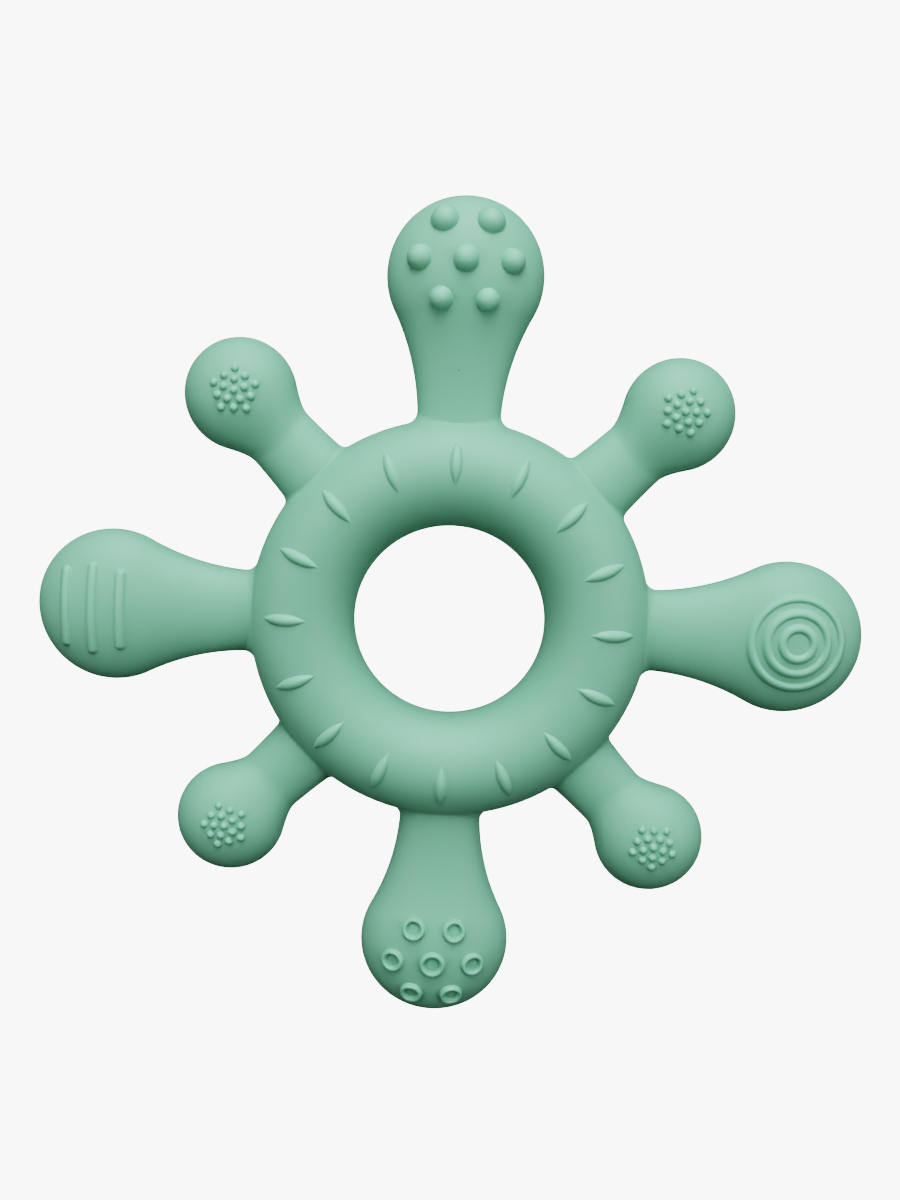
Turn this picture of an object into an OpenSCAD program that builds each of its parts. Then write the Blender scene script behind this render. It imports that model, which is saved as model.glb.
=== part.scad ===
// Teething wheel. One soft moulding: a round finger ring, four paddle arms and four
// shorter knob arms. Each paddle and knob has its own chewing texture on both faces.
// It lies flat on the table with +Z out of the front face. The dome paddle points
// along +Y, the circle paddle along +X, the cup paddle along -Y, the bar paddle along -X.

/* [Ring] */
// Diameter of the finger hole
hole_d = 25.4; // [20:0.1:32]
// Thickness of the round tube that forms the ring
tube_d = 14; // [11:0.1:17]

/* [Ring ribs] */
// Length of one rib
rib_l = 5.5; // [4:0.1:7]
// Width of a rib at its foot
rib_w = 1.4; // [1:0.1:2]
// How far a rib stands out of the ring
rib_h = 0.55; // [0.3:0.05:0.9]
// Depth of a rib's ends below its middle, so that they die into the ring
rib_drop = 1.05; // [0.8:0.05:1.4]
// Lean of the ribs from the top of the ring towards its outside
rib_lean = 14; // [0:1:25]
// Ribs around the ring
rib_count = 16; // [8:8:24]

/* [Paddle arms] */
// Size from tip to tip across two opposite paddles
span = 110; // [90:1:135]
// Width of a paddle's head
head_w = 20.3; // [16.5:0.1:24.5]
// Thickness of a paddle's head
head_t = 11; // [9:0.1:13.5]
// Width of a paddle's neck
neck_w = 10.9; // [9:0.1:13.2]
// Radius of the hollow sides between neck and head
waist_r = 31; // [25:1:38]

/* [Knob arms] */
// Size from tip to tip across two opposite knobs
knob_span = 95.6; // [88:0.2:104]
// Width of a knob
knob_w = 14.7; // [12:0.1:17.6]
// Thickness of a knob
knob_t = 11; // [9:0.1:13.5]
// Width of a knob arm's stem
stem_w = 9.3; // [7.7:0.1:11.2]
// Thickness of a knob arm's stem
stem_t = 6.2; // [5.2:0.1:7.8]
// Radius of the hollow between stem and knob
throat_r = 4.4; // [3:0.1:6]

/* [Domes] */
// Width of a dome at its foot
dome_w = 3.3; // [2.6:0.1:4]
// Height of a dome
dome_h = 1.4; // [0.8:0.1:1.6]
// Distance between neighbouring domes
dome_pitch = 5.6; // [4.6:0.1:6.2]
// Distance of the middle dome past the middle of the head
dome_shift = 1.3; // [0:0.1:2]

/* [Cups] */
// Width of a cup
cup_w = 3.6; // [3:0.1:4.3]
// Width of a cup's hollow
cup_bore = 2.3; // [1.6:0.1:2.8]
// Height of a cup's wall
cup_h = 0.65; // [0.4:0.05:1]
// Distance between neighbouring cups
cup_pitch = 5.2; // [4.5:0.1:6]
// Distance of the middle cup past the middle of the head
cup_shift = 1.3; // [0:0.1:2]

/* [Bars] */
// Width of a bar
bar_w = 1.4; // [1:0.1:1.8]
// Height of a bar
bar_h = 0.5; // [0.3:0.05:0.8]
// Length of the middle bar
bar_l = 12.3; // [10:0.1:14]
// Length of the two outer bars
outer_bar_l = 10.8; // [9:0.1:13]
// Distance between neighbouring bars
bar_pitch = 3.7; // [3:0.1:4.2]
// Distance of the middle bar past the middle of the head
bar_shift = 1.6; // [0:0.1:2]

/* [Circles] */
// Distance of the circles' middle past the middle of the head
circle_shift = 0.5; // [0:0.1:1]
// Radius of the inner circle, at the middle of its ridge
circle_r = 1.6; // [1.2:0.1:2]
// Step from one circle to the next
circle_step = 2.05; // [1.7:0.05:2.3]
// Width of a ridge
ridge_w = 1.1; // [0.8:0.1:1.4]
// Height of a ridge
ridge_h = 0.5; // [0.3:0.05:0.7]

/* [Dots] */
// Width of a dot
dot_w = 0.95; // [0.7:0.05:1.2]
// Height of a dot
dot_h = 0.42; // [0.25:0.01:0.6]
// Distance between neighbouring dots
dot_pitch = 1.3; // [1.1:0.05:1.5]

/* [Hidden] */
$fn = 72;
mint = "#86b8a0";
light_mint = "#9ccbb4";

// Directions of the arms, counted from +X
right = 0;
top = 90;
left = 180;
bottom = 270;

// Ring: radius of the tube's own circle and of its middle line
tube_r = tube_d / 2;
ring_r = hole_d / 2 + tube_r;

// Ribs: the arc of a rib's crest, half the distance between the two balls that cross in
// that arc, and the height of the front ribs over the middle plane
rib_r = (pow(rib_l / 2, 2) + pow(rib_drop, 2)) / (2 * rib_drop);
rib_gap = (rib_h * (2 * rib_r - rib_h) - pow(rib_w / 2, 2)) / rib_w;
mid_z = (tube_r + rib_h - rib_r) * cos(rib_lean) + rib_r;

// Paddles: the neck turns into the hollow side at waist_x, and the head takes over at head_x
head_r = head_w / 2;
neck_r = neck_w / 2;
head_c = span / 2 - head_r;
flat = head_t / head_w;
waist_x = head_c - sqrt(pow(head_r + waist_r, 2) - pow(neck_r + waist_r, 2));
head_x = head_c - (head_c - waist_x) * head_r / (head_r + waist_r);

// Knobs
knob_r = knob_w / 2;
knob_c = knob_span / 2 - knob_r;

// A stem's hollow side runs this far into its ball, so that the two cross cleanly
bite = 0.04;
// Small step for measuring a slope
tick = 0.01;
// Fineness of a face that small raised shapes are trimmed to
fine = 216;

// Half the width of a paddle at distance s from the centre of the wheel
function half_width(s) =
  s > head_x ? sqrt(max(0, pow(head_r, 2) - pow(s - head_c, 2))) :
  s > waist_x ? neck_r + waist_r - sqrt(pow(waist_r, 2) - pow(s - waist_x, 2)) :
  neck_r;

// Height of a paddle's face over the middle plane, s along the arm and y across it
function face_z(s, y) = flat * sqrt(max(0, pow(half_width(s), 2) - pow(y, 2)));
function slope_s(s, y) = (face_z(s + tick, y) - face_z(s - tick, y)) / (2 * tick);
function slope_y(s, y) = (face_z(s, y + tick) - face_z(s, y - tick)) / (2 * tick);

// Height of a knob's face at distance d from the middle of the knob
function knob_z(d) = knob_t / 2 * sqrt(1 - pow(d / knob_r, 2));

// Radius of the ball that shows as a cap of width w and height h
function cap_r(w, h) = (pow(w / 2, 2) + pow(h, 2)) / (2 * h);

// Puts children upright on a paddle's face
module on_face(s, y) {
  gs = slope_s(s, y);
  gy = slope_y(s, y);
  translate([s, y, face_z(s, y)])
    rotate([0, atan(norm([gs, gy])), atan2(-gy, -gs)])
      children();
}

// Seven places, one in the middle and six around it, with rows of two, three and two
module seven(pitch, shift) {
  on_face(head_c + shift, 0) children();
  for (a = [30:60:330])
    on_face(head_c + shift + pitch * cos(a), pitch * sin(a)) children();
}

// Half outline of a stem of half width n that ends on a ball of radius b centred at c
module stem_outline(n, b, c, hollow) {
  w = c - sqrt(pow(b + hollow, 2) - pow(n + hollow, 2));
  share = b / (b + hollow);
  difference() {
    polygon([
      [0, min(ring_r, w)], [n, min(ring_r, w)], [n, w],
      [(n + hollow) * share, c - (c - w) * share], [0, c]
    ]);
    translate([n + hollow, w]) circle(hollow);
  }
}

// Turns an outline around the arm's own axis
module turned() {
  rotate([0, 90, 0]) rotate([0, 0, 90]) rotate_extrude() children();
}

module ring_body() {
  rotate_extrude() translate([ring_r, 0]) circle(tube_r);
}

module paddle_body() {
  scale([1, 1, flat]) {
    translate([head_c, 0, 0]) sphere(head_r);
    turned() stem_outline(neck_r, head_r - bite, head_c, waist_r);
  }
}

module knob_ball() {
  translate([knob_c, 0, 0]) scale([1, 1, knob_t / knob_w]) sphere(knob_r);
}

module knob_body() {
  knob_ball();
  scale([1, 1, stem_t / stem_w])
    turned() stem_outline(stem_w / 2, knob_r - bite, knob_c, throat_r);
}

// Turns an arm to its direction and lifts it to the middle plane
module arm_at(angle) {
  translate([0, 0, mid_z]) rotate([0, 0, angle]) children();
}

// Puts a texture on the front, side = 1, or on the back, side = -1
module texture_at(angle, side) {
  arm_at(angle) {
    if (side > 0) children();
    else mirror([0, 0, 1]) children();
  }
}

module ring() {
  color(mint) translate([0, 0, mid_z]) ring_body();
}

module paddle(angle) {
  color(mint) arm_at(angle) difference() {
    paddle_body();
    ring_body();
  }
}

module knob(angle) {
  color(mint) arm_at(angle) difference() {
    knob_body();
    ring_body();
  }
}

// One rib: a lens that stands across the tube, where two balls cross
module rib() {
  translate([ring_r, 0, 0]) rotate([0, rib_lean, 0])
    translate([0, 0, tube_r + rib_h - rib_r])
      intersection_for(y = [-rib_gap, rib_gap])
        translate([0, y, 0]) sphere(norm([rib_gap, rib_r]), $fn = fine);
}

module ribs(side) {
  color(light_mint) for (k = [0:rib_count - 1])
    texture_at(k * 360 / rib_count, side) difference() {
      rib();
      ring_body($fn = fine);
    }
}

module domes(side) {
  color(light_mint) texture_at(top, side) difference() {
    seven(dome_pitch, dome_shift)
      translate([0, 0, dome_h - cap_r(dome_w, dome_h)]) sphere(cap_r(dome_w, dome_h));
    paddle_body($fn = fine);
  }
}

module cups(side) {
  color(light_mint) texture_at(bottom, side) difference() {
    seven(cup_pitch, cup_shift) difference() {
      translate([0, 0, -cup_h]) cylinder(h = 2 * cup_h, d = cup_w);
      translate([0, 0, -2 * cup_h]) cylinder(h = 4 * cup_h, d = cup_bore);
    }
    paddle_body($fn = fine);
  }
}

// One bar across the face at s: part of a turned ring that follows the crown of the face
module bar(s, half_l) {
  crown = face_z(s, 0);
  fall = crown - face_z(s, half_l);
  bend = (pow(half_l, 2) + pow(fall, 2)) / (2 * fall);
  reach = asin(half_l / bend);
  round_r = cap_r(bar_w, bar_h);
  translate([s, 0, crown + bar_h - round_r - bend]) rotate([90, 0, 90])
    rotate([0, 0, 90 - reach]) rotate_extrude(angle = 2 * reach, $fn = 360)
      translate([bend, 0]) circle(round_r, $fn = 72);
}

module bars(side) {
  middle = head_c + bar_shift;
  color(light_mint) texture_at(left, side) difference() {
    for (step = [-1:1])
      bar(middle + step * bar_pitch, (step == 0 ? bar_l : outer_bar_l) / 2);
    paddle_body($fn = fine);
  }
}

// One circle, set low enough to follow the crown of the face
module circle_ridge(radius) {
  round_r = cap_r(ridge_w, ridge_h);
  middle = head_c + circle_shift;
  fall = face_z(middle, 0) - face_z(middle, radius);
  on_face(middle, 0) translate([0, 0, ridge_h - round_r - fall])
    rotate_extrude() translate([radius, 0]) circle(round_r);
}

module circles(side) {
  color(light_mint) texture_at(right, side) difference() {
    for (k = [0:2]) circle_ridge(circle_r + k * circle_step);
    paddle_body($fn = fine);
  }
}

// One dot on a knob at distance d from its middle, in direction a
module dot(d, a) {
  round_r = cap_r(dot_w, dot_h);
  translate([knob_c + d * cos(a), d * sin(a), knob_z(d) + dot_h - round_r]) sphere(round_r);
}

// Sixteen dots: one in the middle, five around it, and ten on a pentagon around those
module dots(angle, side) {
  color(light_mint) texture_at(angle, side) difference() {
    union() {
      dot(0, 0);
      for (k = [0:4]) {
        dot(dot_pitch, 72 * k - 45);
        dot(2 * dot_pitch, 72 * k - 45);
        dot(2 * dot_pitch * cos(36), 72 * k - 9);
      }
    }
    knob_ball($fn = fine);
  }
}

ring();
paddle(top);  // dome_paddle
paddle(left);  // bar_paddle
paddle(bottom);  // cup_paddle
paddle(right);  // circle_paddle
knob(45);  // upper_right_knob
knob(135);  // upper_left_knob
knob(225);  // lower_left_knob
knob(315);  // lower_right_knob
ribs(1);  // front_ring_ribs
ribs(-1);  // back_ring_ribs
domes(1);  // front_domes
domes(-1);  // back_domes
bars(1);  // front_bars
bars(-1);  // back_bars
cups(1);  // front_cups
cups(-1);  // back_cups
circles(1);  // front_circles
circles(-1);  // back_circles
dots(45, 1);  // front_upper_right_dots
dots(45, -1);  // back_upper_right_dots
dots(135, 1);  // front_upper_left_dots
dots(135, -1);  // back_upper_left_dots
dots(225, 1);  // front_lower_left_dots
dots(225, -1);  // back_lower_left_dots
dots(315, 1);  // front_lower_right_dots
dots(315, -1);  // back_lower_right_dots
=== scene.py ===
"""Teething wheel: one soft silicone moulding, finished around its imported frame.

Everything is in metres. The wheel lies flat, +Z out of its front face, with the dome
paddle along +Y and the circle paddle along +X. Shapes are worked out from the middle
of the wheel and lifted to the height of its middle plane at the end.
"""

import itertools
import math

import bmesh
import bpy
import numpy as np
from bpy.props import FloatProperty, FloatVectorProperty, IntProperty, PointerProperty
from mathutils import Matrix, Vector


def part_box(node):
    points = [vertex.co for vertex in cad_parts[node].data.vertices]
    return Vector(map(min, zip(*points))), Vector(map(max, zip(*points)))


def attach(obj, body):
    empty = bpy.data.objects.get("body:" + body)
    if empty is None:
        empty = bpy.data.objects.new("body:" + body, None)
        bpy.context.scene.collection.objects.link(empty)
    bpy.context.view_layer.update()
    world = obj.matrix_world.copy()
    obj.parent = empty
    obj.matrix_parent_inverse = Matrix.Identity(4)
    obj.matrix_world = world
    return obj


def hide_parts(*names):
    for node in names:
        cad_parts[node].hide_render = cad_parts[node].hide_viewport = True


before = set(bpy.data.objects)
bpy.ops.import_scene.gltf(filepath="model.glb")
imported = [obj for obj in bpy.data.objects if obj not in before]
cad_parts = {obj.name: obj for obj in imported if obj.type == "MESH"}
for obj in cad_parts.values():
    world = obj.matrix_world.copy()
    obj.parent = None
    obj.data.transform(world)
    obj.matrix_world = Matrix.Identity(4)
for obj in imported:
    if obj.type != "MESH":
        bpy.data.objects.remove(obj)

bl_info = {
    "name": "Teething Wheel",
    "version": (1, 0, 0),
    "blender": (4, 5, 0),
    "location": "3D View > Sidebar > Teething Wheel",
    "description": "Builds a silicone teething wheel, its raised textures and studio",
    "category": "Add Mesh",
}

MM = 0.001
PADDLES = ("circle_paddle", "dome_paddle", "bar_paddle", "cup_paddle")
KNOBS = ("upper_right_knob", "upper_left_knob", "lower_left_knob", "lower_right_knob")
SIDES = (("front", 1), ("back", -1))

# Turns of the paddles and of the knobs from the +X axis
RIGHT, TOP, LEFT, BOTTOM = (math.radians(turn) for turn in (0, 90, 180, 270))
KNOB_TURNS = [math.radians(turn) for turn in (45, 135, 225, 315)]

# Sizes that the frame already holds
RING_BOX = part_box("ring")
PADDLE_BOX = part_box("circle_paddle")
KNOB_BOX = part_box("upper_right_knob")
TUBE_R = (RING_BOX[1].z - RING_BOX[0].z) / 2
RING_R = RING_BOX[1].x - TUBE_R
MIDDLE = (RING_BOX[1].z + RING_BOX[0].z) / 2
HEAD_R = PADDLE_BOX[1].y
HEAD_X = PADDLE_BOX[1].x - HEAD_R
HEAD_H = (PADDLE_BOX[1].z - PADDLE_BOX[0].z) / 2
KNOB_H = (KNOB_BOX[1].z - KNOB_BOX[0].z) / 2

# Directions, and small sums that keep a divisor away from nought
ALONG = np.array([1.0, 0.0, 0.0])
UP = np.array([0.0, 0.0, 1.0])
TINY, TINIER = 1e-9, 1e-12

# Meshing
SOFT_BAND = 3 * MM  # height over which a fillet changes from its side to its face size
FREE_SQUARES = 1.5  # squares left free around the skin's net
PULL = 0.6  # share of the way to its neighbours' middle that a point slides per round
TRACE_ROUNDS, TRACE_SHARE = 90, 0.8  # steps down to a surface, and the share of each
ABOVE_ARMS, ABOVE_TEXTURE = 8 * MM, 3 * MM  # where the steps start
SKIRT = 2.6  # how far a raised shape's mesh runs past its outline, in foot fillets
SINK_SLOPE, DEEPEST_SINK = 0.35, 0.04 * MM  # how the skirt's rim dips into the skin
UNDERSIDE = 0.35 * MM  # depth of a raised shape's closed underside
STEEPEST = math.radians(84)  # where the rows over a dome's ball end

# Rows from the middle or the inner rim outwards, and places along each row
RIB_ROWS, RIB_PLACES = 21, 56
DOME_ROWS, DOME_PLACES = 16, 48
CUP_ROWS, CUP_PLACES = 34, 60
BAR_ROWS, BAR_END_PLACES, BAR_SIDE_PLACES = 18, 13, 44
CIRCLE_ROWS, CIRCLE_PLACES, CIRCLE_MORE_PLACES = 26, 72, 28
DOT_ROWS, DOT_PLACES = 8, 22

# Forms of single textures
RIB_MARGIN = np.array([0.75, 0.3]) * MM  # a rib's mesh past its ends and its sides
RIB_TAPER, RIB_THINNEST = 1.05, 0.1  # how slowly a rib narrows, and the least it keeps
CUP_INNER_DRAFT, CUP_OUTER_DRAFT, CUP_RIM = 0.12, 0.04, 0.22 * MM
BAR_FIRST_ROW, DOT_FOOT = 0.02, 0.5  # shares of a bar's half width and of the foot
SIXTH, FIFTH = 60, 72  # degrees between places around a head and around a knob
FIRST_SIXTH, FIRST_FIFTH = 30, -45

# Silicone: sizes in metres, heights in millimetres, the rest are shares
CLOUD, MOTTLE = 14 * MM, 1.6 * MM
CLOUD_SHARE, MOTTLE_SHARE = 0.7, 0.3
PARTING_HALF = 0.07 * MM
DUST_CELL, DUST_R, DUST_EMPTY, DUST_COVER = 5 * MM, 0.018, 0.8, 0.8
GRAIN_H, MOTTLE_H, SPECK_H = 0.004, 0.006, 0.02
GRAIN_ROUGH, CLOUD_ROUGH, NOISE_MIDDLE = 0.12, 0.08, 0.5

# Studio: each lamp's setting, size and place
LAMPS = (
    ("overhead", (0.45, 0.6), (0, 0.51, 0.32)),
    ("left", (0.45, 0.3), (-0.46, 0, 0.39)),
    ("right", (0.45, 0.3), (0.46, 0, 0.39)),
)
FLOOR_HALF, FLOOR_SQUARES = 1.5, 8
FLOOR_CLOUD, FLOOR_SHADE = 60 * MM, 0.997
FLOOR_ROUGH, FLOOR_CLOUD_ROUGH = 0.9, 0.05
SENSOR, NEAREST = 36, 0.01


def length(name, default, description):
    """A size in metres, given here in millimetres."""
    return FloatProperty(
        name=name,
        description=description,
        default=default * MM,
        min=0,
        precision=5,
        subtype="DISTANCE",
        unit="LENGTH",
    )


def number(name, default, description, low=0.0, high=100.0):
    """A plain factor."""
    return FloatProperty(
        name=name, description=description, default=default, min=low, max=high
    )


def angle(name, degrees, description):
    """An angle, given here in degrees."""
    return FloatProperty(
        name=name,
        description=description,
        default=math.radians(degrees),
        subtype="ANGLE",
        unit="ROTATION",
    )


def colour(name, default, description):
    """A linear colour."""
    return FloatVectorProperty(
        name=name,
        description=description,
        default=default,
        size=3,
        min=0,
        max=1,
        subtype="COLOR",
    )


class WheelShape(bpy.types.PropertyGroup):
    """Sizes of the ring and the arms"""

    neck_w: length("Neck width", 10.9, "Width of a paddle's neck")
    waist_r: length(
        "Waist radius", 31, "Radius of the hollow sides between neck and head"
    )
    knob_w: length("Knob width", 14.7, "Width of a knob")
    stem_w: length("Stem width", 9.15, "Width of a knob's stem beside the knob")
    stem_root_w: length("Stem root width", 10.1, "Width of a knob's stem at the ring")
    stem_t: length("Stem thickness", 6.2, "Thickness of a knob's stem")
    throat_side: length("Throat side fillet", 1.7, "Fillet at a knob's throat's sides")
    throat_face: length("Throat face fillet", 2.2, "Fillet across the throat's faces")
    root_side: length("Root side fillet", 1.3, "Fillet at a paddle's sides at the ring")
    stem_side: length("Stem side fillet", 0.8, "Fillet at a stem's sides at the ring")
    root_face: length("Root face fillet", 0.15, "Fillet across a paddle's root")
    stem_face: length("Stem face fillet", 0.2, "Fillet across a stem's root")
    grid: length("Grid", 0.43, "Size of one square of the skin's mesh")


class TextureShape(bpy.types.PropertyGroup):
    """Sizes of the raised chewing textures"""

    foot: length("Foot fillet", 0.1, "Fillet at the foot of every raised shape")
    rib_l: length("Rib length", 5.5, "Length of a ring rib")
    rib_w: length("Rib width", 1.52, "Width of a ring rib at its foot")
    rib_h: length("Rib height", 0.54, "How far a ring rib stands out of the ring")
    rib_drop: length("Rib drop", 1.05, "Depth of a rib's ends below its middle")
    rib_lean: angle("Rib lean", 14, "Lean of the ribs towards the ring's outside")
    rib_count: IntProperty(
        name="Ribs", description="Ribs on each face", default=16, min=8, max=24
    )
    dome_w: length("Dome width", 3.25, "Width of the middle dome at its foot")
    dome_h: length("Dome height", 1.45, "Height of a dome")
    dome_growth: number("Dome growth", 0.07, "Width gained towards the tip", 0, 1)
    dome_pitch: length("Dome pitch", 5.9, "Distance between domes side by side")
    dome_rows: number("Dome rows", 0.968, "How close the rows stand, 1 for even", 0, 2)
    dome_shift: length("Dome shift", 1.75, "Middle dome past the middle of the head")
    cup_w: length("Cup width", 3.0, "Width of a cup")
    middle_cup_w: length("Middle cup width", 3.3, "Width of the middle cup")
    cup_wall: length("Cup wall", 0.48, "Thickness of a cup's wall")
    cup_h: length("Cup height", 0.6, "Height of a cup's wall")
    cup_pitch: length("Cup pitch", 5.4, "Distance between neighbouring cups")
    cup_shift: length("Cup shift", 1.47, "Middle cup past the middle of the head")
    bar_w: length("Bar width", 1.35, "Width of a bar")
    bar_h: length("Bar height", 0.5, "Height of a bar")
    bar_l: length("Middle bar length", 12.3, "Length of the middle bar")
    outer_bar_l: length("Outer bar length", 10.8, "Length of the two outer bars")
    bar_pitch: length("Bar pitch", 3.7, "Distance between neighbouring bars")
    bar_shift: length("Bar shift", 1.75, "Middle bar past the middle of the head")
    circle_shift: length("Circle shift", 0.5, "Circles past the middle of the head")
    circle_drop: length("Circle drop", 0.03, "Circles below the paddle's middle line")
    circle_r: length("Inner circle", 2.06, "Radius of the inner circle's ridge")
    circle_step: length("Circle step", 1.95, "Step from one circle to the next")
    ridge_w: length("Ridge width", 1.1, "Width of a circle's ridge")
    ridge_h: length("Ridge height", 0.45, "Height of a circle's ridge")
    dot_w: length("Dot width", 1.05, "Width of a dot")
    dot_h: length("Dot height", 0.48, "Height of a dot")
    dot_pitch: length("Dot pitch", 1.38, "Distance between neighbouring dots")
    dot_rise: length("Dot rise", 0.43, "Upper knobs' dots above the middle")
    low_dot_rise: length("Low dot rise", 0.22, "Lower knobs' dots above the middle")


class SiliconeLook(bpy.types.PropertyGroup):
    """Colour and surface of the silicone"""

    mint: colour("Mint", (0.225, 0.473, 0.341), "Main colour of the silicone")
    deep_mint: colour("Deep mint", (0.212, 0.455, 0.326), "Colour of cloudier parts")
    # Painted light: raised shapes get a lighter copy of the same silicone, a painted
    # highlight, not a colour of their own
    raised: number("Raised lightness", 1.11, "How much lighter raised shapes are", 0, 2)
    dust: colour("Dust", (0.03, 0.06, 0.045), "Colour of clinging dust specks")
    roughness: number("Roughness", 0.6, "How matt the surface is", 0, 1)
    sheen: number("Sheen", 0.04, "Powdery sheen of clean silicone", 0, 1)
    depth: number("Soft depth", 0.1, "Share of light that soaks in", 0, 1)
    grain: length("Grain", 0.3, "Size of the mould's fine grain")
    parting: length("Parting line", 0.03, "Height of the line where the mould parts")


class StudioLook(bpy.types.PropertyGroup):
    """Lamps, floor and camera"""

    overhead: number("Overhead light", 4.2, "Power of the overhead soft light in watts")
    left: number("Left light", 0.98, "Power of the left soft light in watts")
    right: number("Right light", 1.18, "Power of the right soft light in watts")
    floor: number("Floor glow", 2.86, "Brightness of the pale floor", 0, 10)
    tilt: angle("Camera tilt", 8.577, "Camera's tilt about the wheel's X axis")
    pan: angle("Camera pan", -0.893, "Camera's turn about the wheel's Y axis")
    roll: angle("Camera roll", -2.736, "Camera's roll")
    distance: length("Camera distance", 171.831, "Camera to the middle of the wheel")
    aside: length("Camera aside", 0.109, "Camera's step to the right")
    above: length("Camera above", 2.703, "Camera's step up")
    lens: number("Lens", 38.476, "Focal length in millimetres", 1, 500)


# ---------------------------------------------------------------- distance fields


def joined(a, b, fillet):
    """Two distance fields joined with a round fillet."""
    near_a, near_b = np.maximum(fillet - a, 0), np.maximum(fillet - b, 0)
    return np.maximum(fillet, np.minimum(a, b)) - np.hypot(near_a, near_b)


def pad(plan, over, edge):
    """A pad with a round rim, from its outline's distance and the height over it."""
    a, b = plan + edge, over + edge
    outside = np.hypot(np.maximum(a, 0), np.maximum(b, 0))
    return np.minimum(np.maximum(a, b), 0) + outside - edge


def softened(side, face, z):
    """A fillet's size: side at the middle plane, face from the soft band's edge on."""
    return face + (side - face) * np.clip(1 - (z / SOFT_BAND) ** 2, 0, 1)


def cap_radius(width, height):
    """Radius of the ball that shows as a cap of that width and height."""
    return (width**2 / 4 + height**2) / (2 * height)


class Skin:
    """Distance field of the ring and its eight arms."""

    def __init__(self, shape):
        self.shape = shape
        self.flat = HEAD_H / HEAD_R
        self.neck_r = shape.neck_w / 2
        self.hollow_y = self.neck_r + shape.waist_r
        reach = HEAD_R + shape.waist_r
        self.waist_x = HEAD_X - math.sqrt(reach**2 - self.hollow_y**2)
        self.knob_r = shape.knob_w / 2
        self.knob_x = (KNOB_BOX[1].x - self.knob_r) * math.sqrt(2)
        self.knob_flat = KNOB_H / self.knob_r
        self.stem_flat = shape.stem_t / shape.stem_w

    def ring(self, p):
        """The round tube."""
        return np.hypot(np.hypot(p[:, 0], p[:, 1]) - RING_R, p[:, 2]) - TUBE_R

    def paddle(self, s, t, z):
        """A paddle along s: a flattened round neck, hollow waist and round head."""
        z = z / self.flat
        rho = np.hypot(t, z) + TINY
        head = np.hypot(s - HEAD_X, rho) + TINY
        across, down = s - self.waist_x, self.hollow_y - rho
        hollow = np.hypot(across, down) + TINY
        on_head = (s - HEAD_X) * self.hollow_y > rho * (self.waist_x - HEAD_X)
        on_neck = s < self.waist_x
        gap = np.where(on_neck, rho - self.neck_r, self.shape.waist_r - hollow)
        along = np.where(on_neck, 0, -across / hollow)
        out = np.where(on_neck, 1, down / hollow)
        gap = np.where(on_head, head - HEAD_R, gap)
        along = np.where(on_head, (s - HEAD_X) / head, along)
        out = np.where(on_head, rho / head, out)
        stretch = (t**2 + (z / self.flat) ** 2) / rho**2
        slope = np.sqrt(along**2 + out**2 * stretch + TINIER)
        return np.maximum(gap / slope, RING_R - s)

    def knob(self, s, t, z):
        """A knob along s: a flattened ball on a flat stem that widens to the ring."""
        ball_z = z / self.knob_flat
        ball = np.sqrt((s - self.knob_x) ** 2 + t**2 + ball_z**2) + TINY
        slope = np.sqrt((s - self.knob_x) ** 2 + t**2 + (ball_z / self.knob_flat) ** 2)
        ball_gap = (ball - self.knob_r) * ball / (slope + TINY)
        reach = self.knob_x - RING_R - TUBE_R
        widen = (self.shape.stem_root_w - self.shape.stem_w) / 2
        to_root = np.clip((self.knob_x - s) / reach, 0, 1)
        half = self.shape.stem_w / 2 + widen * to_root**3
        stem_z = z / self.stem_flat
        rho = np.hypot(t, stem_z) + TINY
        stretch = (np.hypot(t, stem_z / self.stem_flat) + TINIER) / rho
        ends = np.maximum(RING_R - s, s - self.knob_x)
        stem_gap = np.maximum((rho - half) / stretch, ends)
        fillet = softened(self.shape.throat_side, self.shape.throat_face, z)
        return joined(ball_gap, stem_gap, fillet)

    def __call__(self, p):
        """The whole moulding; its four paddles and four knobs fold onto one each."""
        x, y, z = p.T
        straight = np.abs(x), np.abs(y)
        turned = np.abs(x + y) * math.sqrt(0.5), np.abs(x - y) * math.sqrt(0.5)
        root = softened(self.shape.root_side, self.shape.root_face, z)
        stem = softened(self.shape.stem_side, self.shape.stem_face, z)
        paddle = self.paddle(np.maximum(*straight), np.minimum(*straight), z)
        knob = self.knob(np.maximum(*turned), np.minimum(*turned), z)
        return joined(joined(self.ring(p), paddle, root), knob, stem)


def slope_of(field, p, step=2e-6):
    """How steeply a field rises along each axis."""
    parts = []
    for axis in range(3):
        move = np.zeros(3)
        move[axis] = step
        parts.append(field(p + move) - field(p - move))
    return np.stack(parts, -1) / (2 * step)


def normals_of(field, p):
    """Unit normals of a field."""
    slope = slope_of(field, p)
    return slope / np.linalg.norm(slope, axis=1)[:, None]


def settled(field, p, rounds=4):
    """Points moved onto the field's surface, and their normals."""
    for _ in range(rounds):
        slope = slope_of(field, p)
        p = p - field(p)[:, None] * slope / (slope**2).sum(1)[:, None]
    return p, normals_of(field, p)


# ---------------------------------------------------------------- meshes


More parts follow.
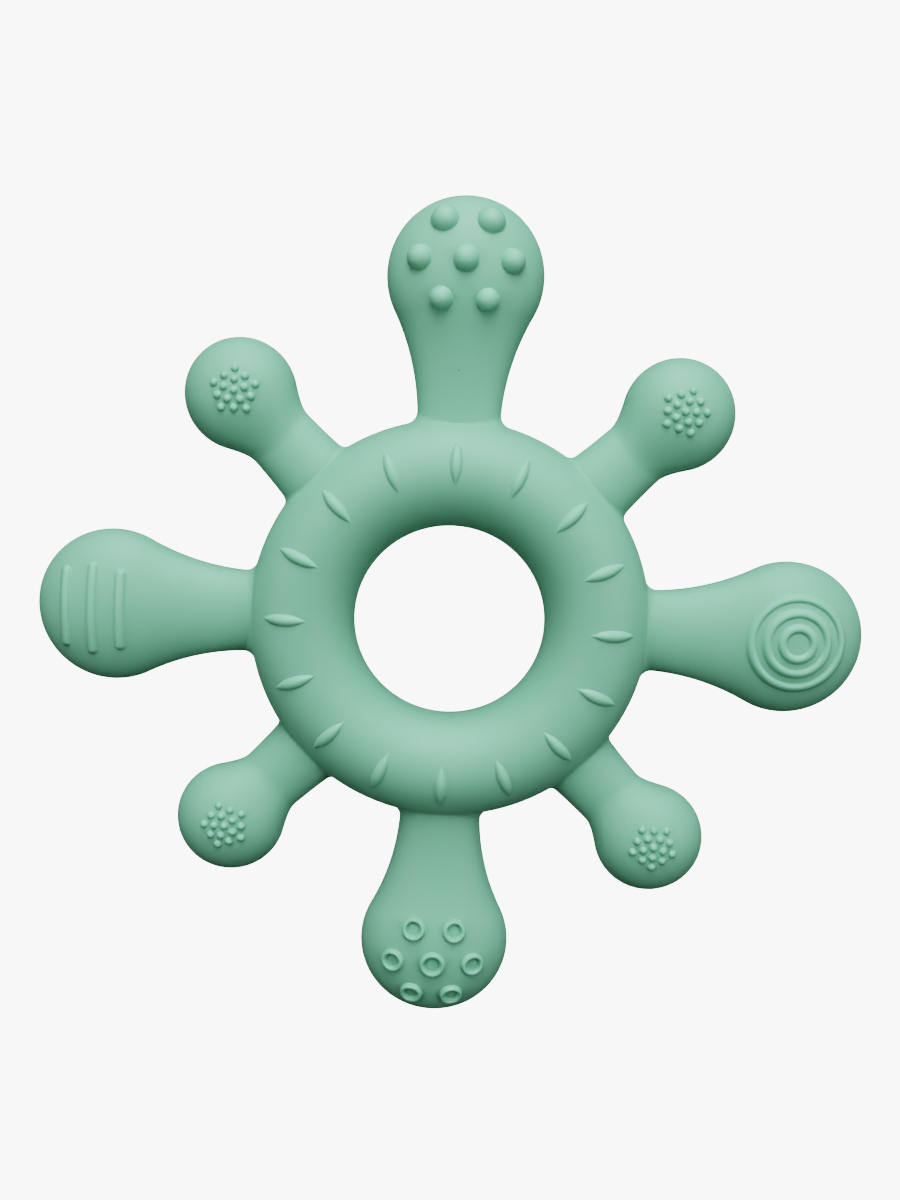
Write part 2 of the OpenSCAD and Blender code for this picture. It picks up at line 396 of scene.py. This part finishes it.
def net(field, low, high, step):
    """A net of squares around the surface of a field."""
    axes = [np.arange(a, b + step, step) for a, b in zip(low, high)]
    shape = [len(a) for a in axes]
    grid = np.stack(np.meshgrid(*axes, indexing="ij"), -1).reshape(-1, 3)
    inside = (field(grid) < 0).reshape(shape)
    cells = [n - 1 for n in shape]
    full = sum(
        inside[a : a + cells[0], b : b + cells[1], c : c + cells[2]].astype(int)
        for a, b, c in itertools.product((0, 1), repeat=3)
    )
    mixed = (full > 0) & (full < 8)
    index = np.full(cells, -1)
    index[mixed] = np.arange(mixed.sum())
    points = np.array([a[0] for a in axes]) + (np.argwhere(mixed) + 0.5) * step
    faces = []
    for turn in ((0, 1, 2), (1, 2, 0), (2, 0, 1)):
        solid, number_of = inside.transpose(turn), index.transpose(turn)
        i, j, k = np.nonzero(solid[:-1, 1:-1, 1:-1] != solid[1:, 1:-1, 1:-1])
        square = np.stack(
            [
                number_of[i, j, k],
                number_of[i, j + 1, k],
                number_of[i, j + 1, k + 1],
                number_of[i, j, k + 1],
            ],
            -1,
        )
        rising = solid[i, j + 1, k + 1]
        faces.append(np.where(rising[:, None], square, square[:, ::-1]))
    return points, np.concatenate(faces)


def evened(field, points, faces, rounds=6):
    """Slides a net's points along the surface until its squares are even."""
    edges = np.concatenate([faces[:, [a, (a + 1) % 4]] for a in range(4)])
    total = len(points)
    count = np.bincount(edges[:, 0], minlength=total)
    count = count + np.bincount(edges[:, 1], minlength=total)
    points, normals = settled(field, points)
    for _ in range(rounds):
        middle = np.zeros_like(points)
        for axis in range(3):
            place = points[:, axis]
            middle[:, axis] = np.bincount(edges[:, 0], place[edges[:, 1]], total)
            middle[:, axis] += np.bincount(edges[:, 1], place[edges[:, 0]], total)
        pull = middle / count[:, None] - points
        pull -= (pull * normals).sum(1)[:, None] * normals
        points, normals = settled(field, points + PULL * pull, 2)
    return points, normals


def traced(field, base, up, start):
    """Drops points along up onto the surface from a start above it."""
    height = np.full(len(base), start)
    for _ in range(TRACE_ROUNDS):
        height -= TRACE_SHARE * field(base + height[:, None] * up)
    return base + height[:, None] * up


def across(row):
    """Faces that close a ring of points with strips from side to side."""
    for i in range(len(row) // 2):
        corners = row[i], row[i + 1], row[len(row) - i - 1], row[-i]
        yield list(dict.fromkeys(corners))


class Raised:
    """Collects raised shapes on one carrier, each a closed shell sunk into the skin."""

    def __init__(self, skin, foot):
        self.skin, self.foot = skin, foot
        self.points, self.normals, self.faces = [], [], []
        self.total = 0

    def add(self, form, origin, up, along, plan, ring=False):
        """Adds a form. plan holds rows of places (along, sideways) that run around it.

        A ring's rows run from its inner to its outer rim, the others from the middle.
        """
        rows, columns = plan.shape[:2]
        sideways = np.cross(up, along)
        base = origin + plan.reshape(-1, 2) @ np.stack([along, sideways])

        def both(p):
            """The skin and the form, joined with the foot's fillet."""
            return joined(self.skin(p), form(p), self.foot)

        points = traced(both, base, up, ABOVE_TEXTURE)
        normals = normals_of(both, points).reshape(rows, columns, 3)
        past = form(points) - self.foot
        sink = np.clip(past * SINK_SLOPE, 0, DEEPEST_SINK)
        shell = (points - sink[:, None] * up).reshape(rows, columns, 3)
        under = shell[[-1, 0]] if ring else shell[-1:]
        shell = np.concatenate([shell, under - UNDERSIDE * up])
        normals = np.concatenate([normals, np.broadcast_to(-up, under.shape)])
        self._keep(shell, normals, ring)

    def _keep(self, shell, normals, ring):
        """Keeps a shell's points and closes it with faces."""
        rows, columns = shell.shape[:2]
        index = self.total + np.arange(rows * columns).reshape(rows, columns)
        pairs = list(zip(range(rows - 1), range(1, rows)))
        if ring:
            pairs.append((rows - 1, 0))
        after = np.roll(index, -1, axis=1)
        for a, b in pairs:
            self.faces.extend(
                np.stack([index[a], index[b], after[b], after[a]], -1).tolist()
            )
        self.points.append(shell.reshape(-1, 3))
        self.normals.append(normals.reshape(-1, 3))
        self.total += rows * columns
        if not ring:
            self.faces.extend(across(index[0].tolist()))
            self.faces.extend(face[::-1] for face in across(index[-1].tolist()))

    def arrays(self):
        """All points, normals and faces."""
        return np.concatenate(self.points), np.concatenate(self.normals), self.faces


def make_piece(name, points, normals, faces, paint, turn=0.0, side=1):
    """A smooth mesh, turned round the wheel, mirrored for the back and lifted."""
    c, s = math.cos(turn), math.sin(turn)
    spin = np.array([[c, s, 0], [-s, c, 0], [0, 0, side]])
    if side < 0:
        faces = [face[::-1] for face in faces]
    mesh = bpy.data.meshes.new(name)
    placed = points @ spin + np.array([0, 0, MIDDLE])
    mesh.from_pydata(placed.tolist(), [], faces)
    if mesh.validate():
        raise RuntimeError(f"{name}: its mesh had faults")
    mesh.shade_smooth()
    mesh.normals_split_custom_set_from_vertices((normals @ spin).tolist())
    piece = bpy.data.objects.new(name, mesh)
    bpy.context.scene.collection.objects.link(piece)
    piece.data.materials.append(paint)
    return piece


def finish_piece(piece, slot, *nodes):
    """Fixes a piece to the wheel, in place of its CAD nodes."""
    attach(piece, "root")
    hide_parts(*nodes)


# ---------------------------------------------------------------- materials


class Value:
    """A number in a shader. Arithmetic on it adds Math nodes."""

    def __init__(self, shade, socket):
        self.shade, self.socket = shade, socket

    def _math(self, operation, *values):
        made = self.shade.node(
            "ShaderNodeMath", {"operation": operation}, dict(enumerate(values))
        )
        return Value(self.shade, made.outputs[0])

    def __add__(self, other):
        return self._math("ADD", self, other)

    def __sub__(self, other):
        return self._math("SUBTRACT", self, other)

    def __rsub__(self, other):
        return self._math("SUBTRACT", other, self)

    def __mul__(self, other):
        return self._math("MULTIPLY", self, other)

    def __truediv__(self, other):
        return self._math("DIVIDE", self, other)

    def __pow__(self, other):
        return self._math("POWER", self, other)

    def __lt__(self, other):
        return self._math("LESS_THAN", self, other)

    def __gt__(self, other):
        return self._math("GREATER_THAN", self, other)

    def __abs__(self):
        return self._math("ABSOLUTE", self)

    __radd__ = __add__
    __rmul__ = __mul__


class Shade:
    """A material's node tree."""

    def __init__(self, name):
        self.material = bpy.data.materials.new(name)
        self.material.use_nodes = True
        self.tree = self.material.node_tree
        self.tree.nodes.clear()

    def node(self, kind, settings=None, sockets=None):
        """A node of a kind, with its settings and its sockets' values or links."""
        made = self.tree.nodes.new(kind)
        for key, value in (settings or {}).items():
            setattr(made, key, value)
        for key, value in (sockets or {}).items():
            value = value.socket if isinstance(value, Value) else value
            if isinstance(value, bpy.types.NodeSocket):
                self.tree.links.new(value, made.inputs[key])
            else:
                made.inputs[key].default_value = value
        return made

    def place(self):
        """Position on the object, in metres."""
        return self.node("ShaderNodeTexCoord").outputs["Object"]

    def noise(self, place, size, detail=2.0, roughness=0.5):
        """Noise from 0 to 1 with features of that size."""
        sockets = {"Scale": 1 / size, "Detail": detail, "Roughness": roughness}
        made = self.node("ShaderNodeTexNoise", {}, {"Vector": place, **sockets})
        return Value(self, made.outputs["Fac"])

    def mixed(self, factor, first, second):
        """Two colours mixed."""
        made = self.node(
            "ShaderNodeMix",
            {"data_type": "RGBA"},
            {0: factor, 6: rgba(first), 7: rgba(second)},
        )
        return made.outputs[2]

    def close(self, shader):
        """Ends the tree in a shader and returns the material."""
        self.node("ShaderNodeOutputMaterial", {}, {"Surface": shader.outputs[0]})
        return self.material


def rgba(value):
    """A colour with full alpha, or a socket as it is."""
    if isinstance(value, bpy.types.NodeSocket):
        return value
    return (*value, 1.0)


def silicone(name="mint_silicone", painted_highlight=1.0):
    """Matt mint silicone: cloudy colour, fine mould grain, a parting line and dust,
    lifted by a gain that paints a highlight.
    """
    known = bpy.data.materials.get(name)
    if known:
        return known
    look = bpy.context.scene.silicone_look
    shade = Shade(name)
    place = shade.place()
    cloud = shade.noise(place, CLOUD, detail=3)
    mottle = shade.noise(place, MOTTLE)
    grain = shade.noise(place, look.grain, detail=3, roughness=0.6)
    height = shade.node("ShaderNodeSeparateXYZ", {}, {"Vector": place}).outputs["Z"]
    off_parting = abs(Value(shade, height) - MIDDLE) / PARTING_HALF
    parting = (off_parting * off_parting + 1) ** -2
    cells = shade.node(
        "ShaderNodeTexVoronoi", {}, {"Vector": place, "Scale": 1 / DUST_CELL}
    )
    near = Value(shade, cells.outputs["Distance"]) < DUST_R
    chosen = shade.node(
        "ShaderNodeSeparateColor", {}, {"Color": cells.outputs["Color"]}
    ).outputs["Red"]
    speck = near * (Value(shade, chosen) > DUST_EMPTY)
    tone = cloud * CLOUD_SHARE + mottle * MOTTLE_SHARE
    # A gain above 1 lifts both colours: the painted highlight of the raised shapes
    mint, deep_mint = (
        [part * painted_highlight for part in tint] for tint in (look.mint, look.deep_mint)
    )
    body = shade.mixed(tone, mint, deep_mint)
    body = shade.mixed(speck * DUST_COVER, body, look.dust)
    bump = grain * GRAIN_H + mottle * MOTTLE_H + parting * (look.parting / MM)
    bump = bump + speck * SPECK_H
    skin = shade.node(
        "ShaderNodeBump", {}, {"Strength": 1.0, "Distance": MM, "Height": bump}
    )
    rough = look.roughness + (grain - NOISE_MIDDLE) * GRAIN_ROUGH
    shader = shade.node(
        "ShaderNodeBsdfPrincipled",
        {},
        {
            "Base Color": body,
            "Roughness": rough + (cloud - NOISE_MIDDLE) * CLOUD_ROUGH,
            "Normal": skin.outputs["Normal"],
            "IOR": 1.45,
            "Specular IOR Level": 0.6,
            "Subsurface Weight": look.depth,
            "Subsurface Radius": (0.3, 1.0, 0.7),
            "Subsurface Scale": 1.5 * MM,
            "Sheen Weight": look.sheen,
            "Sheen Roughness": 0.5,
        },
    )
    return shade.close(shader)


def floor_paint(glow):
    """Pale matt floor that glows a little, like a light table."""
    shade = Shade("pale_floor")
    place = shade.place()
    cloud = shade.noise(place, FLOOR_CLOUD)
    tint = shade.mixed(cloud, [1.0] * 3, [FLOOR_SHADE] * 3)
    shader = shade.node(
        "ShaderNodeBsdfPrincipled",
        {},
        {
            "Base Color": (0.0, 0.0, 0.0, 1.0),
            "Roughness": FLOOR_ROUGH + cloud * FLOOR_CLOUD_ROUGH,
            "Specular IOR Level": 0.0,
            "Emission Color": tint,
            "Emission Strength": glow,
        },
    )
    return shade.close(shader)


# ---------------------------------------------------------------- operators


def wheel_skin():
    """The moulding's distance field, from the scene's settings."""
    return Skin(bpy.context.scene.wheel_shape)


class TEETHER_OT_body(bpy.types.Operator):
    """Model the ring and its eight arms as one seamless skin"""

    bl_idname = "teether.body"
    bl_label = "Ring and arms"

    def execute(self, context):
        skin = wheel_skin()
        step = context.scene.wheel_shape.grid
        side, rise = (
            (math.ceil(size / step) + FREE_SQUARES) * step
            for size in (PADDLE_BOX[1].x, TUBE_R)
        )
        points, faces = net(skin, (-side, -side, -rise), (side, side, rise), step)
        points, normals = evened(skin, points, faces)
        piece = make_piece("wheel_skin", points, normals, faces.tolist(), silicone())
        finish_piece(piece, "silicone", "ring", *PADDLES, *KNOBS)
        return {"FINISHED"}


def on_face(skin, s, t):
    """A place on an arm's face over (s, t), its normal and the arm's direction."""
    origin = traced(skin, np.array([[s, t, 0.0]]), UP, ABOVE_ARMS)
    _, normal = settled(skin, origin)
    up = normal[0]
    along = ALONG - up[0] * up
    return origin[0], up, along / np.linalg.norm(along)


def out_and_high(p, origin, up):
    """Distances of points from the axis through a place, and their heights over it."""
    high = (p - origin) @ up
    return np.linalg.norm(p - origin - high[:, None] * up, axis=1), high


def seven(pitch, shift, rows=1.0):
    """Seven places on a head: one in the middle and six around it."""
    middle = HEAD_X + shift
    yield middle, 0.0
    for k in range(6):
        a = math.radians(FIRST_SIXTH + SIXTH * k)
        yield middle + rows * pitch * math.cos(a), pitch * math.sin(a)


def round_plan(radii, columns):
    """Rows of places on circles of these radii."""
    a = np.linspace(0, 2 * math.pi, columns, endpoint=False)
    return np.asarray(radii)[:, None, None] * np.stack([np.cos(a), np.sin(a)], -1)


def cap_radii(width, height, foot, rows):
    """Radii of rows over a dome: even along its curve, then close over its foot."""
    ball = cap_radius(width, height)
    steep = min(math.asin(min(1.0, width / 2 / ball)), STEEPEST)
    over = ball * np.sin(np.linspace(0, steep, rows + 1)[1:])
    out = over[-1] + np.linspace(0, 1, rows // 2 + 1)[1:] * (SKIRT * foot)
    return np.concatenate([over, out])


def add_cap(raised, s, t, width, height, plan):
    """Adds a dome of that width and height over (s, t)."""
    ball = cap_radius(width, height)
    origin, up, along = on_face(raised.skin, s, t)
    middle = origin + up * (height - ball)

    def form(p):
        """The ball whose cap is the dome."""
        return np.linalg.norm(p - middle, axis=1) - ball

    raised.add(form, origin, up, along, plan)


def place_pair(name, raised, turn):
    """Makes the front and the back copy of a texture, each in place of its CAD node."""
    points, normals, faces = raised.arrays()
    # Raised shapes take a lighter copy of the silicone, a painted highlight on them
    paint = silicone("raised_mint_silicone", bpy.context.scene.silicone_look.raised)
    for side_name, side in SIDES:
        full = f"{side_name}_{name}"
        piece = make_piece(full + "_skin", points, normals, faces, paint, turn, side)
        finish_piece(piece, "raised_silicone", full)


class TEETHER_OT_ribs(bpy.types.Operator):
    """Model the lens-shaped ribs of the ring, front and back"""

    bl_idname = "teether.ribs"
    bl_label = "Ring ribs"

    def execute(self, context):
        shape = context.scene.texture_shape
        skin = wheel_skin()
        crest = (shape.rib_l**2 / 4 + shape.rib_drop**2) / (2 * shape.rib_drop)
        thick = cap_radius(shape.rib_w, shape.rib_h)
        shares = np.linspace(0, 1, RIB_ROWS + 1)[1:, None, None]
        plan = shares * round_plan([1.0], RIB_PLACES)
        plan = plan * (np.array([shape.rib_l, shape.rib_w]) / 2 + RIB_MARGIN)
        raised = Raised(skin, shape.foot)
        for k in range(shape.rib_count):
            a = 2 * math.pi * k / shape.rib_count
            radial = np.array([math.cos(a), math.sin(a), 0.0])
            round_it = np.array([-math.sin(a), math.cos(a), 0.0])
            up = radial * math.sin(shape.rib_lean) + UP * math.cos(shape.rib_lean)
            along = np.cross(round_it, up)
            hub = radial * RING_R + up * (TUBE_R + shape.rib_h - crest)

            def form(p):
                """A bent bar that narrows to its ends, where it dips into the ring."""
                reach, off = out_and_high(p, hub, round_it)
                past = (p - hub) @ along / (shape.rib_l / 2)
                narrow = np.sqrt(np.clip(RIB_TAPER - past**2, RIB_THINNEST, 1))
                return np.hypot(reach - crest + thick, off / narrow) - thick

            raised.add(form, radial * RING_R + up * TUBE_R, up, along, plan)
        place_pair("ring_ribs", raised, RIGHT)
        return {"FINISHED"}


class TEETHER_OT_domes(bpy.types.Operator):
    """Model the seven domes of the top paddle, front and back"""

    bl_idname = "teether.domes"
    bl_label = "Domes"

    def execute(self, context):
        shape = context.scene.texture_shape
        raised = Raised(wheel_skin(), shape.foot)
        for s, t in seven(shape.dome_pitch, shape.dome_shift, shape.dome_rows):
            width = shape.dome_w + shape.dome_growth * (s - HEAD_X - shape.dome_shift)
            radii = cap_radii(width, shape.dome_h, shape.foot, DOME_ROWS)
            plan = round_plan(radii, DOME_PLACES)
            add_cap(raised, s, t, width, shape.dome_h, plan)
        place_pair("domes", raised, TOP)
        return {"FINISHED"}


class TEETHER_OT_cups(bpy.types.Operator):
    """Model the seven cups of the bottom paddle, front and back"""

    bl_idname = "teether.cups"
    bl_label = "Cups"

    def execute(self, context):
        shape = context.scene.texture_shape
        skin = wheel_skin()
        raised = Raised(skin, shape.foot)
        half = shape.cup_wall / 2
        reach = half + SKIRT * shape.foot
        for s, t in seven(shape.cup_pitch, shape.cup_shift):
            width = shape.cup_w if t else shape.middle_cup_w
            ring_r = width / 2 - half
            radii = np.linspace(ring_r - reach, ring_r + reach, CUP_ROWS)
            plan = round_plan(radii, CUP_PLACES)
            origin, up, along = on_face(skin, s, t)

            def form(p):
                """A round wall, steep outside and sloping inside, with a soft rim."""
                out, high = out_and_high(p, origin, up)
                over = high - shape.cup_h
                draft = np.where(out < ring_r, CUP_INNER_DRAFT, CUP_OUTER_DRAFT)
                return pad(np.abs(out - ring_r) - half + draft * over, over, CUP_RIM)

            raised.add(form, origin, up, along, plan, ring=True)
        place_pair("cups", raised, BOTTOM)
        return {"FINISHED"}


def bar_plan(core, reach):
    """Rows around a bar that lies across an arm, the first place of each at one tip."""
    ends = np.linspace(-math.pi / 2, math.pi / 2, BAR_END_PLACES)
    sides = np.linspace(-core, core, BAR_SIDE_PLACES + 2)[1:-1]
    flank, tip = np.full(len(sides), math.pi / 2), np.full(len(ends), core)
    turn = np.concatenate([ends, flank, ends + math.pi, -flank])
    where = np.concatenate([tip, sides[::-1], -tip, sides])
    spread = np.stack([-np.sin(turn), np.cos(turn)], -1)
    line = np.stack([np.zeros(len(where)), where], -1)
    return np.roll(line[None] + reach * spread[None], -(len(ends) // 2), axis=1)


class TEETHER_OT_bars(bpy.types.Operator):
    """Model the three cross bars of the left paddle, front and back"""

    bl_idname = "teether.bars"
    bl_label = "Bars"

    def execute(self, context):
        shape = context.scene.texture_shape
        skin = wheel_skin()
        raised = Raised(skin, shape.foot)
        half_w = shape.bar_w / 2
        ball = cap_radius(shape.bar_w, shape.bar_h)
        reach = np.linspace(BAR_FIRST_ROW, 1, BAR_ROWS)[:, None, None]
        reach = reach * (half_w + SKIRT * shape.foot)
        for k in (-1, 0, 1):
            s = HEAD_X + shape.bar_shift + k * shape.bar_pitch
            core = (shape.outer_bar_l if k else shape.bar_l) / 2 - half_w
            plan = bar_plan(core, reach)

            def form(p):
                """A round-topped bar that keeps one height over the face."""
                off = np.hypot(p[:, 0] - s, np.maximum(np.abs(p[:, 1]) - core, 0))
                return np.hypot(off, skin(p) - shape.bar_h + ball) - ball

            raised.add(form, np.array([s, 0.0, HEAD_H]), UP, ALONG, plan)
        place_pair("bars", raised, LEFT)
        return {"FINISHED"}


class TEETHER_OT_circles(bpy.types.Operator):
    """Model the three circles of the right paddle, front and back"""

    bl_idname = "teether.circles"
    bl_label = "Circles"

    def execute(self, context):
        shape = context.scene.texture_shape
        skin = wheel_skin()
        raised = Raised(skin, shape.foot)
        middle = HEAD_X + shape.circle_shift
        origin, up, along = on_face(skin, middle, -shape.circle_drop)
        ball = cap_radius(shape.ridge_w, shape.ridge_h)
        reach = shape.ridge_w / 2 + SKIRT * shape.foot
        for k in range(3):
            radius = shape.circle_r + k * shape.circle_step
            radii = np.linspace(radius - reach, radius + reach, CIRCLE_ROWS)
            plan = round_plan(radii, CIRCLE_PLACES + k * CIRCLE_MORE_PLACES)

            def form(p):
                """A round ridge that keeps one height over the face."""
                out, _ = out_and_high(p, origin, up)
                return np.hypot(out - radius, skin(p) - shape.ridge_h + ball) - ball

            raised.add(form, origin, up, along, plan, ring=True)
        place_pair("circles", raised, RIGHT)
        return {"FINISHED"}


class TEETHER_OT_dots(bpy.types.Operator):
    """Model the sixteen small dots of each knob, front and back"""

    bl_idname = "teether.dots"
    bl_label = "Dots"

    def execute(self, context):
        shape = context.scene.texture_shape
        skin = wheel_skin()
        c = math.sqrt(0.5)
        to_wheel = np.array([[c, c, 0], [-c, c, 0], [0, 0, 1]])

        def local(p):
            """The moulding, turned so that a knob lies along the first axis."""
            return skin(p @ to_wheel)

        foot = DOT_FOOT * shape.foot
        radii = cap_radii(shape.dot_w, shape.dot_h, foot, DOT_ROWS)
        plan = round_plan(radii, DOT_PLACES)
        far = 2 * shape.dot_pitch
        places = [(0.0, 0.0)]
        for k in range(5):
            corner = FIRST_FIFTH + FIFTH * k
            places.append((shape.dot_pitch, corner))
            places.append((far, corner))
            places.append((far * math.cos(math.radians(FIFTH / 2)), corner + FIFTH / 2))
        for knob, turn in zip(KNOBS, KNOB_TURNS):
            rise = shape.dot_rise if knob.startswith("upper") else shape.low_dot_rise
            raised = Raised(local, foot)
            for distance, degrees in places:
                a = math.radians(degrees)
                s = skin.knob_x + distance * math.cos(a) + rise * math.sin(turn)
                t = distance * math.sin(a) + rise * math.cos(turn)
                add_cap(raised, s, t, shape.dot_w, shape.dot_h, plan)
            place_pair(knob.replace("knob", "dots"), raised, turn)
        return {"FINISHED"}


def add_lamp(name, power, size, spot, target):
    """A soft oblong lamp at spot that shines at target."""
    data = bpy.data.lights.new(name, "AREA")
    data.shape = "RECTANGLE"
    data.size, data.size_y = size
    data.energy = power
    lamp = bpy.data.objects.new(name, data)
    lamp.location = spot
    beam = Vector(target) - Vector(spot)
    lamp.rotation_euler = beam.to_track_quat("-Z", "Y").to_euler()
    bpy.context.scene.collection.objects.link(lamp)


class TEETHER_OT_stage(bpy.types.Operator):
    """Set the pale floor, the soft lamps and the camera"""

    bl_idname = "teether.stage"
    bl_label = "Stage"

    def execute(self, context):
        scene, studio = context.scene, context.scene.studio_look
        bm = bmesh.new()
        count = FLOOR_SQUARES
        bmesh.ops.create_grid(bm, x_segments=count, y_segments=count, size=FLOOR_HALF)
        mesh = bpy.data.meshes.new("floor")
        bm.to_mesh(mesh)
        bm.free()
        floor = bpy.data.objects.new("floor", mesh)
        scene.collection.objects.link(floor)
        floor.data.materials.append(floor_paint(studio.floor))
        floor.visible_diffuse = False
        floor.visible_glossy = False
        for name, size, spot in LAMPS:
            power = getattr(studio, name)
            add_lamp(f"{name}_light", power, size, spot, (0, 0, MIDDLE))
        world = bpy.data.worlds.new("pale_backdrop")
        scene.world = world
        world.use_nodes = True
        backdrop = world.node_tree.nodes["Background"].inputs
        backdrop["Color"].default_value = (1, 1, 1, 1)
        backdrop["Strength"].default_value = studio.floor
        world.cycles_visibility.diffuse = False
        world.cycles_visibility.glossy = False
        scene.view_settings.view_transform = "Filmic"
        scene.view_settings.look = "Very High Contrast"
        self.add_camera(context, studio)
        return {"FINISHED"}

    def add_camera(self, context, studio):
        """The camera above the wheel, turned by tilt, pan and roll."""
        turn = (
            Matrix.Rotation(studio.tilt, 3, "X")
            @ Matrix.Rotation(studio.pan, 3, "Y")
            @ Matrix.Rotation(studio.roll, 3, "Z")
        ).transposed()
        data = bpy.data.cameras.new("camera")
        data.sensor_width = SENSOR
        data.lens = studio.lens
        data.clip_start = NEAREST
        camera = bpy.data.objects.new("camera", data)
        spot = turn @ Vector((studio.aside, studio.above, studio.distance))
        camera.matrix_world = Matrix.LocRotScale(
            spot + Vector((0, 0, MIDDLE)), turn.to_quaternion(), None
        )
        context.scene.collection.objects.link(camera)
        context.scene.camera = camera


class TEETHER_PT_panel(bpy.types.Panel):
    """Pieces of the teething wheel and their settings"""

    bl_idname = "TEETHER_PT_panel"
    bl_label = "Teething Wheel"
    bl_space_type = "VIEW_3D"
    bl_region_type = "UI"
    bl_category = "Teething Wheel"

    def draw(self, context):
        for operator in OPERATORS:
            self.layout.operator(operator.bl_idname)
        for group, title in zip(GROUPS, TITLES):
            settings = getattr(context.scene, title)
            box = self.layout.box()
            box.label(text=title.replace("_", " ").capitalize())
            for key in group.__annotations__:
                box.prop(settings, key)


GROUPS = (WheelShape, TextureShape, SiliconeLook, StudioLook)
TITLES = ("wheel_shape", "texture_shape", "silicone_look", "studio_look")
OPERATORS = (
    TEETHER_OT_stage,
    TEETHER_OT_body,
    TEETHER_OT_ribs,
    TEETHER_OT_domes,
    TEETHER_OT_cups,
    TEETHER_OT_bars,
    TEETHER_OT_circles,
    TEETHER_OT_dots,
)


def register():
    """Adds the settings, the operators and the panel to Blender."""
    for kind in (*GROUPS, *OPERATORS, TEETHER_PT_panel):
        bpy.utils.register_class(kind)
    for group, title in zip(GROUPS, TITLES):
        setattr(bpy.types.Scene, title, PointerProperty(type=group))


def unregister():
    """Takes them out again."""
    for title in TITLES:
        delattr(bpy.types.Scene, title)
    for kind in reversed((*GROUPS, *OPERATORS, TEETHER_PT_panel)):
        bpy.utils.unregister_class(kind)


def main():
    """Builds the whole wheel and its stage."""
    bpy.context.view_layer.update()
    register()
    for operator in OPERATORS:
        group, name = operator.bl_idname.split(".")
        getattr(getattr(bpy.ops, group), name)()


if __name__ == "__main__":
    main()
